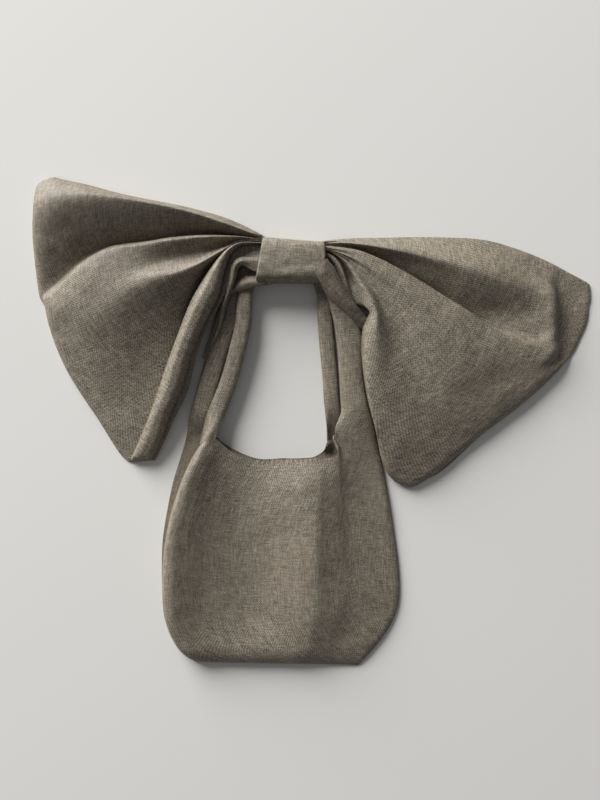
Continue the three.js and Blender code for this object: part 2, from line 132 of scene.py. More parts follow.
# Right wing, from its upper border round to the open side beside the strap.
RIGHT_BORDER = [(22, 21, 18), (32, 25, 17), (55, 29, 12), (100, 31, 8), (160, 32, 5), (211, 29, 4),
                (245, 20, 3), (280, 6, 3), (307, -8, 2), (324, -17, 2)]
RIGHT_FRONT = [
    RIGHT_BORDER,
    # Seam beside the border.
    [(22, 21, 20), (32, 24, 20), (55, 27, 16), (100, 29, 10), (160, 30, 7), (211, 27, 5.5),
     (245, 18, 4.5), (280, 4, 4), (307, -10, 4), (327, -20, 3)],
    # Just inside the border.
    [(22, 21, 22), (32, 23, 23), (55, 25, 20), (99, 25, 16), (159, 23, 13), (207, 17, 11),
     (242, 7, 9.5), (268, -6, 9), (283, -15, 8), (292, -20, 4.5), (328, -33, 3)],
    # Upper crest.
    [(22, 22, 21), (33, 22, 21), (57, 22, 23), (100, 16, 27), (130, 10, 28), (157, 3, 28),
     (180, -3, 29), (200, -10, 29), (222, -18, 26), (245, -26, 21), (268, -32, 18), (284, -36, 18),
     (292, -38, 5), (326, -44, 3)],
    # Middle of the upper panel.
    [(22, 21, 22), (33, 21, 22), (65, 20, 19), (105, 9, 18), (135, 0, 20), (160, -9, 21),
     (185, -20, 22), (208, -30, 21), (235, -40, 17), (262, -46, 16), (284, -50, 18), (292, -51, 5),
     (325, -55, 3)],
    # Low part of the upper panel.
    [(22, 20, 22), (34, 20, 22), (68, 18, 15), (103, 2, 8), (131, -11, 9), (156, -22, 10),
     (181, -35, 10), (205, -46, 9), (232, -55, 10), (260, -60, 14), (284, -62, 17), (292, -63, 5),
     (322, -66, 3)],
    # Valley, a crease.
    [(22, 20, 21), (34, 20, 21), (69, 17, 15), (83, 10, 6.5), (106, -1, 3.2), (132, -15, 3),
     (156, -29, 3), (179, -43, 3), (201, -56, 3), (222, -67, 7), (246, -72, 11), (268, -75, 14),
     (284, -76, 17), (292, -76, 5), (317, -77, 3)],
    # Edge of the great lobe, a crease.
    [(23, 19, 25), (35, 18, 27), (68, 15, 25), (81, 11, 25), (108, -1, 23.5), (135, -16, 22),
     (158, -30, 20.5), (181, -44, 19.5), (200, -57, 18.5), (216, -70, 18.5), (234, -81, 18.5),
     (255, -88, 17.5), (272, -91, 17), (285, -92, 17), (293, -93, 5), (309, -94, 3)],
    # Crown of the lobe.
    [(23, 18, 26), (36, 16, 28), (64, 8, 29), (92, -8, 29.5), (119, -27, 29.5), (147, -50, 29),
     (171, -71, 28), (192, -94, 25.5), (214, -104, 22), (238, -111, 17.5), (262, -114, 14),
     (281, -112, 11), (298, -107, 8)],
    # Middle of the lobe.
    [(23, 17, 26), (36, 15, 28), (61, 5, 28), (88, -16, 27.5), (113, -45, 27), (137, -75, 27.5),
     (158, -102, 27), (177, -125, 24), (202, -138, 19), (226, -144, 16), (244, -147, 12),
     (257, -147, 8)],
    # Hollow behind the near roll.
    [(23, 17, 25), (36, 15, 27), (59, 4, 29), (82, -20, 28), (100, -48, 26.5), (117, -83, 25.5),
     (134, -113, 24.5), (149, -142, 23), (170, -163, 19), (191, -177, 14), (210, -183, 9)],
    # Near roll.
    [(23, 16, 24), (37, 14, 26), (56, 1, 28), (73, -24, 32), (89, -52, 35), (89, -81, 35),
     (92, -118, 32), (99, -157, 27), (114, -197, 20), (150, -232, 9)],
    # Near edge.
    [(23, 15, 22), (37, 13, 23), (52, 4, 20), (62, -11, 17), (67, -27, 22), (77, -45, 27),
     (84, -55, 31), (80, -72, 31), (78, -95, 30), (80, -130, 28), (86, -163, 25), (96, -198, 19),
     (110, -226, 12), (130, -242, 7)],
    # Open side beside the strap.
    [(23, 14, 22), (37, 12, 24), (49, 0, 25), (55, -13, 23), (61, -30, 22), (68, -42, 20),
     (83, -50, 19), (77, -66, 17), (75, -87, 16), (77, -115, 15), (82, -145, 13), (91, -179, 11),
     (99, -215, 8), (109, -232, 5), (122, -241, 4)],
    # Foot of the open side.
    [(23, 13, 18), (37, 11, 18), (50, 0, 16), (57, -14, 14), (63, -30, 12), (70, -42, 10),
     (85, -51, 9), (79, -67, 8), (77, -87, 7), (79, -115, 6), (84, -145, 5), (93, -179, 4),
     (101, -214, 3), (110, -230, 2), (122, -239, 1.5)],
]
RIGHT_CREASES = (6, 7)
RIGHT_CREASE_END = (0.3, 0.6)

# Loose pleats, from the band outwards.
LEFT_UPPER_PLEAT = [
    [(-22, 20, 22), (-39, 19, 22), (-53, 17, 20), (-62, 9, 18), (-69, -6, 16), (-74, -24, 14),
     (-80, -45, 11.5), (-88, -71, 9), (-98, -100, 7)],
    [(-22, 9, 23), (-45, 8, 23), (-57, 8, 22), (-66, 0, 21), (-69, -13, 20), (-73, -27, 18),
     (-78, -45, 16), (-84, -71, 12), (-98, -100, 8)],
    [(-22, 7, 26), (-45, 6, 27), (-56, 6, 27), (-64, -1, 27), (-67, -14, 25), (-71, -28, 22),
     (-76, -45, 19), (-82, -71, 14), (-97, -101, 8)],
    [(-22, 3, 28), (-44, 2, 29), (-54, 2, 30), (-60, -3, 30), (-63, -15, 28), (-67, -29, 25),
     (-73, -45, 22), (-80, -71, 16), (-96, -102, 9)],
    [(-22, -11, 25), (-40, -8, 26), (-53, -2, 26), (-57, -5, 25), (-60, -16, 23), (-65, -29, 21),
     (-71, -46, 18), (-78, -71, 13), (-95, -102, 7)],
]
LEFT_LOWER_PLEAT = [
    [(-22, 2, 12), (-35, 2, 12), (-52, 0, 12), (-62, -12, 11)],
    [(-22, -8, 14), (-35, -8, 14), (-54, -9, 13), (-64, -19, 13)],
    [(-22, -14, 21), (-35, -14, 22), (-55, -16, 20), (-65, -25, 17)],
    [(-22, -19, 24), (-35, -19, 25), (-54, -22, 23), (-66, -29, 19)],
    [(-22, -22, 20), (-36, -24, 21), (-54, -28, 19), (-67, -32, 16)],
    [(-22, -20, 15), (-36, -21, 15), (-53, -25, 14), (-64, -29, 13)],
]
RIGHT_INNER_PLEAT = [
    [(24, 6, 22), (37, 5, 22), (46, -4, 21), (51, -16, 20), (56, -30, 18), (65, -45, 15)],
    [(24, 8, 26), (38, 7, 28), (48, -3, 28), (53, -15, 27), (58, -30, 25), (67, -44, 21)],
    [(24, 10, 27), (39, 9, 29), (50, -1, 30), (56, -14, 29), (61, -30, 27), (69, -43, 23)],
    [(24, 12, 24), (40, 11, 24), (53, 1, 22), (59, -13, 21), (64, -29, 20), (71, -41, 17)],
]
RIGHT_ROLL = [
    [(26, -12, 35.5), (29, -18, 31), (33, -26, 23), (42, -40, 15), (57, -53, 11), (71, -66, 9),
     (84, -76, 8)],
    [(24, -10, 38), (28, -17, 36), (33, -25, 31), (43, -38, 25), (57, -51, 20), (71, -65, 15),
     (84, -75, 11)],
    [(25, -7, 41.5), (30, -14, 41), (36, -22, 38), (46, -35, 34), (59, -49, 28), (72, -62, 21),
     (85, -73, 15)],
    [(29, -3, 44), (34, -10, 43.5), (40, -18, 41), (50, -32, 37.5), (62, -47, 32), (74, -60, 24),
     (86, -71, 17)],
    [(34, 1, 43.5), (39, -6, 42.5), (45, -14, 39.5), (54, -29, 36), (65, -45, 31), (76, -57, 23),
     (87, -69, 16)],
    [(37.5, 3, 39.5), (42.5, -4, 37), (48, -12, 33), (57, -26, 28), (68, -43, 25), (78, -54, 19),
     (88, -66, 14)],
    [(38, 2, 36), (43, -4, 32), (48, -12, 27), (57, -26, 22), (68, -42, 19), (78, -53, 15),
     (88, -65, 12)],
]

# Straps: middle lines from the pouch to the knot.
LEFT_STRAP_FRONT = [(-80, 135, 10), (-75, 152, 11), (-66, 174, 11), (-57, 198, 11), (-48, 231, 12),
                    (-42, 258, 12), (-40, 286, 12), (-37, 300, 11), (-25, 312, 10)]
LEFT_STRAP_BACK = [(-98, 134, 4), (-91, 156, 5), (-86, 172, 5.5), (-81, 190, 5.5), (-72, 222, 5.5),
                   (-61, 256, 6), (-55, 278, 6), (-51, 292, 6), (-34, 306, 8)]
RIGHT_STRAP_FRONT = [(83, 134, 10), (80, 160, 11), (77.5, 180, 11), (75, 204, 11), (73, 242, 11),
                     (68, 268, 12), (58, 292, 13), (44, 308, 12)]
RIGHT_STRAP_BACK = [(57, 136, 4), (56, 160, 5), (54, 180, 5.5), (53, 198, 5.5), (49, 242, 5.5),
                    (47, 268, 6), (46, 290, 7), (40, 306, 8)]
# Widths and depths of the straps by the share of the way along.
EVEN_FRONT = [(0, 22), (0.2, 19), (0.6, 18), (0.85, 17), (1, 14)]
FLARED_FRONT = [(0, 40), (0.15, 31), (0.25, 28), (0.4, 26), (0.6, 28), (0.8, 25), (1, 15)]
EVEN_BACK = [(0, 22), (0.3, 22), (0.6, 22), (0.85, 20), (1, 14)]
SLIM_BACK = [(0, 18), (0.3, 17), (0.6, 17), (0.85, 16), (1, 13)]
FRONT_DEPTH = [(0, 12), (0.3, 11), (0.8, 11), (1, 9)]
BACK_DEPTH = [(0, 6), (0.3, 9.5), (0.8, 9.5), (1, 8)]

# Pouch: its sides from the base up, and its base and tops from left to right.
POUCH_LEFT = [(-96, -111), (-112, -97), (-123, -79), (-129, -60), (-131, -44), (-131, -11),
              (-128, 22), (-121, 55), (-110, 88), (-98, 114), (-90, 127)]
POUCH_RIGHT = [(84, -115), (99, -99), (117, -75), (126, -55), (129, -38), (128, -5), (123, 33),
               (118, 66), (112, 99), (107, 120), (105, 128)]
POUCH_BASE = [(-96, -111), (-60, -112), (0, -113), (50, -114), (84, -115)]
FRONT_TOP = [(-90, 127), (-80, 132), (-71, 134), (-65, 129), (-53, 119), (-38, 113), (-22, 110),
             (0, 111), (20, 112), (40, 113), (54, 114), (61, 118), (64, 126), (68, 133), (80, 133),
             (94, 131), (105, 128)]
BACK_LEFT = POUCH_LEFT[:5] + [(-132, -11), (-131, 22), (-126, 55), (-119, 88), (-111, 114), (-107, 128)]
BACK_TOP = [(-107, 128), (-98, 131), (-88, 134), (-74, 136), (-66, 130), (-53, 122), (-38, 115),
            (-22, 111), (0, 112), (20, 112), (36, 114), (46, 121), (50, 131), (58, 133), (70, 132),
            (88, 131), (105, 128)]
# The front wall's height above the bed, by level from the base up and by share from left to right:
# a roll at the left, a hollow, a ridge from the right strap, then a slope.
POUCH_SHARES = np.array([0, 0.02, 0.05, 0.1, 0.15, 0.2, 0.3, 0.37, 0.45, 0.53, 0.6, 0.64, 0.7, 0.8,
                         0.9, 1])
POUCH_LEVELS = np.array([0, 0.12, 0.3, 0.6, 0.85, 1])
POUCH_HEIGHTS = np.array([
    [12, 16, 18, 17, 16, 15.5, 15.5, 15.5, 15.5, 16, 16.5, 16, 14, 11, 8, 5],
    [13, 20, 21, 19, 17, 15.5, 14.5, 14.5, 14.5, 15.5, 16.5, 16.5, 14.5, 10.5, 8, 5],
    [14, 24, 26, 22.5, 18.5, 15, 11, 10, 11.5, 15.5, 19.5, 20.5, 17.5, 11, 7, 5],
    [14, 27, 28.5, 25, 20, 15.5, 10, 8.8, 10.3, 15.5, 21, 22.8, 18.5, 11.5, 7.5, 5.5],
    [13, 26, 28, 24, 18, 13.5, 9.3, 10.5, 15, 19.8, 22.4, 22.2, 18.5, 12.5, 8.5, 6.5],
    [11, 19, 21, 18, 14.5, 12, 9.5, 10, 12, 14.5, 16, 16.5, 16.5, 16, 13, 9],
], float)


def smooth(start, end, places):
    """0 before start, 1 after end, and an even S between them."""
    share = np.clip((np.asarray(places, float) - start) / (end - start), 0, 1)
    return share * share * (3 - 2 * share)


def quarter(share):
    """The height of a quarter circle, from 0 at its foot to 1 at its top."""
    return np.sqrt(np.clip(1 - (1 - np.clip(share, 0, 1)) ** 2, 0, 1))


def rounded(values, power):
    """Values with their signs kept and their sizes raised to a power, which squares a circle off."""
    return np.sign(values) * np.abs(values) ** power


def hermite(knots, values, turns, places):
    """Values at places on the cubic line that passes each knot with its value and its turn."""
    found = np.clip(np.searchsorted(knots, places, side="right") - 1, 0, len(knots) - 2)
    shape = (-1,) + (1,) * (values.ndim - 1)
    step = (knots[found + 1] - knots[found]).reshape(shape)
    share = (places - knots[found]).reshape(shape) / step
    rest = 1 - share
    return (
        values[found] * rest * rest * (1 + 2 * share)
        + values[found + 1] * share * share * (1 + 2 * rest)
        + turns[found] * step * share * rest * rest
        - turns[found + 1] * step * share * share * rest
    )


def through(knots, values, places):
    """Values at places on a smooth line through values at knots, which never swings past a knot."""
    steps = np.diff(knots)
    slopes = np.diff(values, axis=0) / steps.reshape((-1,) + (1,) * (values.ndim - 1))
    before, after = slopes[:-1], slopes[1:]
    agree = before * after > 0
    total = np.where(agree, before + after, 1)
    middle = np.where(agree, 2 * before * after / total, 0)
    turns = np.concatenate([slopes[:1], middle, slopes[-1:]])
    return hermite(knots, values, turns, places)


def profile(pairs, places):
    """Values at places on a smooth line through pairs of a place and a value."""
    knots, values = np.array(pairs, float).T
    return through(knots, values, places)


def lengths(points):
    """The distance along a line at each of its points."""
    return np.concatenate([[0], np.cumsum(np.linalg.norm(np.diff(points, axis=0), axis=1))])


def points_at(distances, line):
    """The points at distances along a line."""
    along = lengths(line)
    return np.stack([np.interp(distances, along, axis) for axis in line.T], axis=1)


FLOW_DETAIL = 40


def flow(points, count):
    """Places at even steps along a smooth line through points."""
    points = np.asarray(points, float)
    chords = np.linalg.norm(np.diff(points, axis=0), axis=1)
    knots = np.concatenate([[0], np.cumsum(np.sqrt(chords))])
    steps = np.diff(knots)[:, None]
    slopes = np.diff(points, axis=0) / steps
    middle = (slopes[:-1] * steps[1:] + slopes[1:] * steps[:-1]) / (steps[:-1] + steps[1:])
    turns = np.concatenate([slopes[:1], middle, slopes[-1:]])
    places = np.linspace(0, knots[-1], FLOW_DETAIL * len(points))
    line = hermite(knots, points, turns, places)
    return points_at(np.linspace(0, lengths(line)[-1], count), line)


def soften(grid, times):
    """A grid with its small corners eased, its border kept."""
    for _ in range(times):
        eased = grid.copy()
        beside = grid[:-2, 1:-1] + grid[2:, 1:-1] + grid[1:-1, :-2] + grid[1:-1, 2:]
        eased[1:-1, 1:-1] = (4 * grid[1:-1, 1:-1] + beside) / 8
        grid = eased
    return grid


def loft(lines, along, across, creases=(), crease_end=(0, 1)):
    """Cloth over guide lines, a row for each step across them and a column for each step along them.

    The cloth bends smoothly over every line but a crease. There it turns sharply, until the crease
    dies away between the two shares of the way along that crease_end gives.
    """
    rows = np.stack([flow(line, along) for line in lines])
    gaps = np.linalg.norm(np.diff(rows, axis=0), axis=2).mean(axis=1)
    knots = np.concatenate([[0], np.cumsum(gaps)])
    places = np.linspace(0, knots[-1], across)
    ends = [0, *creases, len(lines) - 1]
    sharp = np.empty((across, along, 3))
    for first, last in zip(ends, ends[1:]):
        chosen = (places >= knots[first]) & (places <= knots[last])
        part = slice(first, last + 1)
        sharp[chosen] = through(knots[part], rows[part], places[chosen])
    even = through(knots, rows, places)
    fade = smooth(*crease_end, np.linspace(0, 1, along))[None, :, None]
    return sharp * (1 - fade) + even * fade


ARCH_STEPS = 40
ARCH_TURNS = (155, 130, 100, 70, 40, 15)
ARCH_FULLNESS = 0.8


def arch(left, right, heights, lean):
    """Guide lines of a rolled fold between its two feet, with its top's height by the share along.

    The top stands at the share lean of the way from the left foot to the right one.
    """
    left = flow(left, ARCH_STEPS)
    right = flow(right, ARCH_STEPS)
    top = profile(heights, np.linspace(0, 1, ARCH_STEPS))
    lines = []
    for turn in ARCH_TURNS:
        angle = math.radians(turn)
        share = 1 - (1 - math.cos(angle)) / 2
        share = share ** (math.log(lean) / math.log(0.5))
        line = left * (1 - share) + right * share
        line[:, 2] += (top - line[:, 2]) * math.sin(angle) ** ARCH_FULLNESS
        lines.append(line)
    return lines


RIPPLE_WAVES = 9
RIPPLE_SPREAD = 4


def ripple(places, size, seed):
    """A gentle unevenness over the plan, mostly between -1 and 1, with waves of about the given size."""
    chance = np.random.default_rng(seed)
    total = np.zeros(places.shape[:-1])
    for _ in range(RIPPLE_WAVES):
        turn = chance.uniform(0, 2 * math.pi)
        pitch = 2 * math.pi / (size * chance.uniform(0.6, 1.6))
        phase = chance.uniform(0, 2 * math.pi)
        onward = places[..., 0] * math.cos(turn) + places[..., 1] * math.sin(turn)
        total += np.sin(pitch * onward + phase)
    return total / RIPPLE_SPREAD


def weave_places(grid):
    """Where each point of a grid lies on its own cloth, in millimetres along and across the threads."""
    along = np.linalg.norm(np.diff(grid, axis=1), axis=2)
    along = np.concatenate([np.zeros((grid.shape[0], 1)), np.cumsum(along, axis=1)], axis=1)
    across = np.linalg.norm(np.diff(grid, axis=0), axis=2)
    across = np.concatenate([np.zeros((1, grid.shape[1])), np.cumsum(across, axis=0)], axis=0)
    across -= across[grid.shape[0] // 2]
    return np.stack([along, across], axis=2)


def quads(index):
    """The four corners of each cell of a grid of numbers."""
    corners = [index[:-1, :-1], index[:-1, 1:], index[1:, 1:], index[1:, :-1]]
    return np.stack(corners, axis=2).reshape(-1, 4)


UP = (0, 0, 1)
DOWN = (0, 0, -1)
ROUND = "round"
SMOOTH_ANGLE = math.radians(60)


def cloth_piece(name, grid, finish, thickness=CLOTH, facing=UP, weave=None):
    """A sheet of cloth with its outer face on the grid, none of it below the bed.

    A grid that faces round is a closed loop, whose last column is its first again.
    """
    places = np.arange(grid.shape[0] * grid.shape[1]).reshape(grid.shape[:2])
    threads = quads(places)
    if facing == ROUND:
        kept = grid[:, :-1]
        index = np.arange(kept.shape[0] * kept.shape[1]).reshape(kept.shape[:2])
        index = np.concatenate([index, index[:, :1]], axis=1)
        outward = (grid - grid.mean(axis=1, keepdims=True)).reshape(-1, 3)[threads[:, 0]]
    else:
        kept = grid
        index = places
        outward = np.array(facing)
    corners = quads(index)
    points = grid.reshape(-1, 3)
    one_way = points[threads[:, 1]] - points[threads[:, 0]]
    other_way = points[threads[:, 3]] - points[threads[:, 0]]
    if (np.cross(one_way, other_way) * outward).sum() < 0:
        corners = corners[:, ::-1]
        threads = threads[:, ::-1]
    mesh = bpy.data.meshes.new(name)
    mesh.from_pydata((kept.reshape(-1, 3) * MM).tolist(), [], corners.tolist())
    weave = weave_places(grid) if weave is None else weave
    layer = mesh.uv_layers.new(name="weave")
    spots = (weave.reshape(-1, 2) * MM)[threads.ravel()]
    layer.data.foreach_set("uv", spots.astype(np.float32).ravel())
    mesh.materials.append(finish)
    piece = bpy.data.objects.new(name, mesh)
    bpy.context.collection.objects.link(piece)
    bpy.ops.object.select_all(action="DESELECT")
    bpy.context.view_layer.objects.active = piece
    piece.select_set(True)
    solidify = piece.modifiers.new("thickness", "SOLIDIFY")
    solidify.thickness = thickness * MM
    solidify.offset = -1
    bpy.ops.object.modifier_apply(modifier=solidify.name)
    bpy.ops.object.shade_smooth_by_angle(angle=SMOOTH_ANGLE)
    for vertex in piece.data.vertices:
        vertex.co.z = max(vertex.co.z, BED_CLEARANCE * MM)
    return piece


def flat_area(grid):
    """The area of a grid's cloth in square metres."""
    one = np.cross(grid[1:, :-1] - grid[:-1, :-1], grid[:-1, 1:] - grid[:-1, :-1])
    two = np.cross(grid[:-1, 1:] - grid[1:, 1:], grid[1:, :-1] - grid[1:, 1:])
    return (np.linalg.norm(one, axis=2).sum() + np.linalg.norm(two, axis=2).sum()) / 2 * MM * MM


# The least share of its flat oblong that a piece narrowing towards one end is said to fill.
LEAST_FILL = 0.31


def declare(node, shape):
    """Hide the solid that a piece stands for, and reckon how large its cloth is laid flat."""
    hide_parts(node)
    span = weave_places(shape)
    flat = (float(np.ptp(span[..., 1], axis=0).max()) * MM, float(span[..., 0].max()) * MM)
    area = max(flat_area(shape), LEAST_FILL * flat[0] * flat[1])


class Tone:
    """One shader value. Sums, differences and products of it add Math nodes."""

    def __init__(self, finish, socket):
        self.finish = finish
        self.socket = socket

    def maths(self, operation, first, second):
        return self.finish.node("ShaderNodeMath", {"operation": operation}, {0: first, 1: second})

    def __add__(self, other):
        return self.maths("ADD", self, other)

    def __radd__(self, other):
        return self.maths("ADD", other, self)

    def __sub__(self, other):
        return self.maths("SUBTRACT", self, other)

    def __rsub__(self, other):
        return self.maths("SUBTRACT", other, self)

    def __mul__(self, other):
        return self.maths("MULTIPLY", self, other)

    def __rmul__(self, other):
        return self.maths("MULTIPLY", other, self)


class Finish:
    """A material and the nodes that make it."""

    def __init__(self, name):
        self.material = bpy.data.materials.new(name)
        self.material.use_nodes = True
        self.tree = self.material.node_tree
        self.shader = self.tree.nodes["Principled BSDF"]

    def put(self, socket, value):
        if isinstance(value, Tone):
            self.tree.links.new(value.socket, socket)
        else:
            socket.default_value = value

    def node(self, kind, settings, inputs, output=0):
        """A node of any kind: its settings first, then the values or links of its sockets."""
        node = self.tree.nodes.new(kind)
        for key, value in settings.items():
            if key == "stops":
                ramp = node.color_ramp.elements
                while len(ramp) < len(value):
                    ramp.new(0.5)
                for stop, (place, colour) in zip(ramp, value):
                    stop.position = place
                    stop.color = colour
            else:
                setattr(node, key, value)
        for key, value in inputs.items():
            self.put(node.inputs[key], value)
        return Tone(self, node.outputs[output])

    def noise(self, x, y, seed, detail=2.0):
        """A cloudy value about 0.5 over two coordinates."""
        place = self.node("ShaderNodeCombineXYZ", {}, {0: x, 1: y, 2: seed})
        inputs = {"Vector": place, "Scale": 1.0, "Detail": detail, "Roughness": 0.55}
        return self.node("ShaderNodeTexNoise", {}, inputs)

    def sine(self, value):
        return self.node("ShaderNodeMath", {"operation": "SINE"}, {0: value})


def srgb(red, green, blue):
    """A colour as a screen shows it, 0 to 255, as the linear colour that a shader takes."""
    values = [value / 255 for value in (red, green, blue)]
    return tuple(v / 12.92 if v <= 0.04045 else ((v + 0.055) / 1.055) ** 2.4 for v in values) + (1.0,)


THREAD_PITCH = 1.3 * MM
# Scales of the linen's noises, in waves for each thread.
ALONG_THREAD = 0.12
ACROSS_THREAD = 1.4
SLUB_LONG = 0.04
SLUB_THICK = 0.7
MOTTLE = 0.07
FLECK = 0.5
WANDER = 0.1
FIBRE = 1.1
# How far the threads stray from straight, in radians of the weave's own wave.
STRAY = 5.0
# A fleck starts at one value of its noise, is full at another, and darkens the cloth by this much.
FLECK_START = 0.8
FLECK_FULL = 0.86
FLECK_DARKNESS = 0.4
# How much the weave and each noise count in the colour, and how much in the relief.
WEAVE_TONE = 0.28
FIBRE_TONE = 0.8
THREAD_TONE = 1.2
SLUB_TONE = 0.25
MOTTLE_TONE = 0.06
WEAVE_RELIEF = 0.5
THREAD_RELIEF = 0.8
SLUB_RELIEF = 0.5
RELIEF_DEPTH = 0.4 * MM
RELIEF_STRENGTH = 0.5
LINEN_ROUGHNESS = 0.62
ROUGHNESS_SPREAD = 0.2
LINEN_GLOSS = 0.5


def linen_finish(name, dark, middle, light, seed):
    """Heathered plain weave: uneven threads both ways, slubs, a few flecks and a soft mottle."""
    linen = Finish(name)
    cloth = linen.node("ShaderNodeUVMap", {"uv_map": "weave"}, {})
    along = linen.node("ShaderNodeSeparateXYZ", {}, {0: cloth}, "X") * (1 / THREAD_PITCH)
    across = linen.node("ShaderNodeSeparateXYZ", {}, {0: cloth}, "Y") * (1 / THREAD_PITCH)
    warp = linen.noise(along * ALONG_THREAD, across * ACROSS_THREAD, seed + 0.1)
    weft = linen.noise(along * ACROSS_THREAD, across * ALONG_THREAD, seed + 4.3)
    slub = linen.noise(along * SLUB_LONG, across * SLUB_THICK, seed + 9.7)
    mottle = linen.noise(along * MOTTLE, across * MOTTLE, seed + 17.9, 3.0)
    fleck = linen.noise(along * FLECK, across * FLECK, seed + 23.3, 0.0)
    wander = linen.noise(along * WANDER, across * WANDER, seed + 29.1, 1.0)
    drift = linen.noise(along * WANDER, across * WANDER, seed + 37.7, 1.0)
    fibre = linen.noise(along * FIBRE, across * FIBRE, seed + 43.9, 0.0)
    weave = linen.sine(along * math.pi + wander * STRAY) * linen.sine(across * math.pi + drift * STRAY)
    threads = (warp - 0.5) * THREAD_TONE + (weft - 0.5) * THREAD_TONE
    heather = 0.5 + weave * WEAVE_TONE + (fibre - 0.5) * FIBRE_TONE + threads
    heather = heather + (slub - 0.5) * SLUB_TONE + (mottle - 0.5) * MOTTLE_TONE
    flecks = {0: fleck, 1: FLECK_START, 2: FLECK_FULL, 3: 0.0, 4: FLECK_DARKNESS}
    speck = linen.node("ShaderNodeMapRange", {}, flecks)
    stops = [(0.0, dark), (0.5, middle), (1.0, light)]
    colour = linen.node("ShaderNodeValToRGB", {"stops": stops}, {0: heather - speck})
    height = weave * WEAVE_RELIEF + warp * THREAD_RELIEF + weft * THREAD_RELIEF + slub * SLUB_RELIEF
    relief = {"Strength": RELIEF_STRENGTH, "Distance": RELIEF_DEPTH, "Height": height}
    linen.put(linen.shader.inputs["Base Color"], colour)
    linen.put(linen.shader.inputs["Normal"], linen.node("ShaderNodeBump", {}, relief))
    linen.put(linen.shader.inputs["Roughness"], LINEN_ROUGHNESS + (warp - 0.5) * ROUGHNESS_SPREAD)
    linen.shader.inputs["Specular IOR Level"].default_value = LINEN_GLOSS
    return linen.material


linen = linen_finish("linen", srgb(60, 52, 41), srgb(112, 103, 89), srgb(156, 148, 133), 1.0)
band_linen = linen_finish(
    "band_linen", srgb(60, 52, 41), srgb(113, 104, 90), srgb(157, 149, 134), 31.0
)
lining = linen_finish("lining", srgb(84, 75, 61), srgb(116, 107, 91), srgb(140, 131, 115), 61.0)


def from_knot(points):
    return np.asarray(points, float) + KNOT


# The wings' hems come down over their last few millimetres to a foot near the bed.
HEM_REACH = 9
HEM_FOOT = 1.6


def hem_down(grid):
    """A grid whose last few millimetres along come down round a hem."""
    steps = np.linalg.norm(np.diff(grid, axis=1), axis=2)
    onward = np.cumsum(steps[:, ::-1], axis=1)[:, ::-1]
    left = np.concatenate([onward, np.zeros((grid.shape[0], 1))], axis=1)
    eased = grid.copy()
    eased[..., 2] = HEM_FOOT + (grid[..., 2] - HEM_FOOT) * quarter(left / HEM_REACH)
    return eased


# Steps along and across a wing's front.
WING_ALONG = 150
WING_ACROSS = 250
# The share of a wing beside each border that keeps to its guide lines.
STILL_EDGE = 0.05
# Gathers beside the band: how many, how high, and where along the wing they stand.
GATHERS = 7.5
GATHER_HEIGHT = 0.9
GATHER_MIDDLE = 0.1
GATHER_REACH = 0.13
GATHER_SWAY = 0.3
# Unevenness away from the band: the size of its waves, their height, and where it comes in.
BROAD_WAVE = 46
BROAD_HEIGHT = 0.45
BROAD_FROM = (0.1, 0.4)
FINE_WAVE = 17
FINE_HEIGHT = 0.1
FINE_FROM = (0.1, 0.3)


def wing_front(lines, creases, crease_end, seed):
    """A wing's front cloth: folds from the guide lines, gathers by the band and a little unevenness."""
    grid = soften(loft(lines, WING_ALONG, WING_ACROSS, creases, crease_end), 1)
    out = np.linspace(0, 1, WING_ALONG)[None, :]
    over = np.linspace(0, 1, WING_ACROSS)[:, None]
    edge = quarter(np.minimum(over, 1 - over) / STILL_EDGE)
    gathers = np.sin(2 * math.pi * (GATHERS * over + GATHER_SWAY * np.sin(6 * out)))
    gathers = gathers * np.exp(-(((out - GATHER_MIDDLE) / GATHER_REACH) ** 2))
    broad = BROAD_HEIGHT * ripple(grid, BROAD_WAVE, seed) * smooth(*BROAD_FROM, out)
    fine = FINE_HEIGHT * ripple(grid, FINE_WAVE, seed + 1) * smooth(*FINE_FROM, out)
    grid[..., 2] += edge * (GATHER_HEIGHT * gathers + broad + fine)
    return hem_down(grid)


# A wing's back cloth comes down from the band to lie on the bed: its height by the share along.
BACK_FALL = [(0, 15), (0.1, 9), (0.2, 2.5), (0.3, 0.6), (1, 0.6)]
BACK_STEPS = 24
# How far the back cloth lies under the front's edge, along the seams and along the strip by the roll.
SEAM_DROP = 0.3
STRIP_DROP = 2.5
# Steps along and across a wing's back and a pleat.
BACK_ALONG = 100
BACK_ACROSS = 120
PLEAT_ALONG = 70
PLEAT_ACROSS = 50


def on_bed(line):
    """A guide line of a wing's back cloth: the plan of a front line, lying on the bed."""
    line = flow(from_knot(line), BACK_STEPS)
    line[:, 2] = profile(BACK_FALL, np.linspace(0, 1, BACK_STEPS))
    return line


def just_under(line, drop):
    """A guide line of a wing's back cloth where it is sewn to the front, a little lower than the front."""
    return from_knot(line) - np.array([0, 0, drop])


def wing_back(lines):
    return loft(lines, BACK_ALONG, BACK_ACROSS)


def pleat(lines):
    return soften(loft([from_knot(line) for line in lines], PLEAT_ALONG, PLEAT_ACROSS), 2)


left_lines = [from_knot(line) for line in LEFT_FRONT]
left_roll_seam = from_knot(LEFT_ROLL_SEAM)
left_roll = arch(left_lines[-1], left_roll_seam, LEFT_ROLL_TOP, LEFT_ROLL_LEAN)
left_front = wing_front(left_lines + left_roll + [left_roll_seam], LEFT_CREASES, LEFT_CREASE_END, 11)
left_back = wing_back([
    just_under(LEFT_BORDER, SEAM_DROP),
    *[on_bed(line) for line in LEFT_FRONT[2:]],
    just_under(LEFT_ROLL_SEAM, STRIP_DROP),
    from_knot(LEFT_STRIP),
])
right_lines = [from_knot(line) for line in RIGHT_FRONT]
right_front = wing_front(right_lines, RIGHT_CREASES, RIGHT_CREASE_END, 23)
